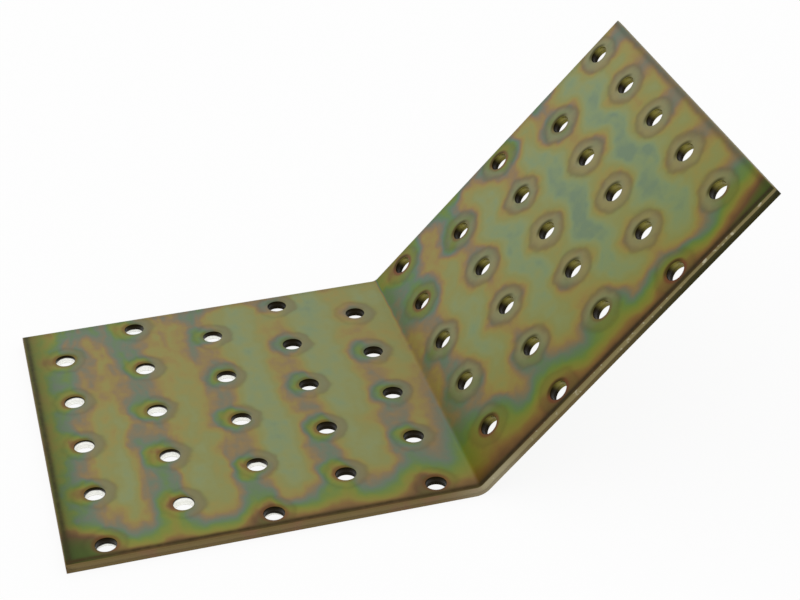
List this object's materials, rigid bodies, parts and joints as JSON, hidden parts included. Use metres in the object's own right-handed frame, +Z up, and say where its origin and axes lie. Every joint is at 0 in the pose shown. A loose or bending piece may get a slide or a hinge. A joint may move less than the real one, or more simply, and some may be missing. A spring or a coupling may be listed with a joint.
{
  "type": "angled joining plate",
  "caption": "Sheet steel plate folded up once at an obtuse angle, with a staggered field of round nail holes through both legs, for joining two timbers.",
  "frame": {"origin": "on the underside of the base leg, at mid-width, on the line where its flat ends and the fold starts", "axes": "+Z up from the surface that the base leg lies on, +X from the base leg towards the raised leg, +Y across the width along the fold"},
  "size_m": [0.1719, 0.1, 0.0728],
  "materials": {
    "passivated_steel": "zinc plated and yellow passivated, with rainbow tints"
  },
  "bodies": {
    "root": {"joining_plate": "passivated_steel"}
  },
  "joints": []
}
